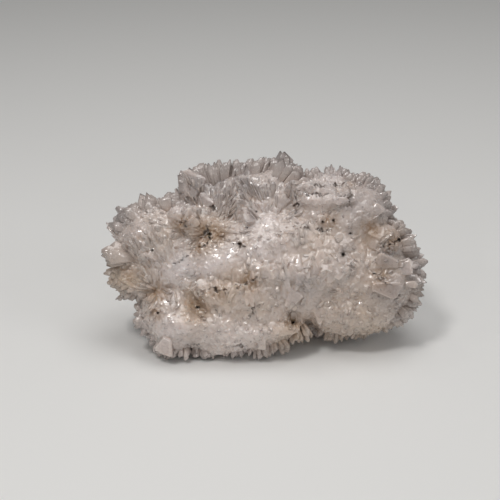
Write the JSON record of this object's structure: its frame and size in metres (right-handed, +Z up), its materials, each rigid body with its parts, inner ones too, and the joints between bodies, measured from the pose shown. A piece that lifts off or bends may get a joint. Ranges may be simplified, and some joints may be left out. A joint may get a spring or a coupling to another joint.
{
  "type": "barite crystal cluster",
  "caption": "Milky white mineral cluster with fans of thin tabular crystals round a banded, massive middle, leaning back on a flat base.",
  "frame": {"origin": "middle of the bounding box at the height of the flat base", "axes": "+X along the cluster's length, to the right as its good face is seen; +Y to the back; +Z up"},
  "size_m": [0.1328, 0.0766, 0.0758],
  "materials": {
    "milky_barite": "milky white with a warm cast, soft vitreous shine on the crystal faces"
  },
  "bodies": {
    "root": {"barite_cluster": "milky_barite"}
  },
  "joints": []
}
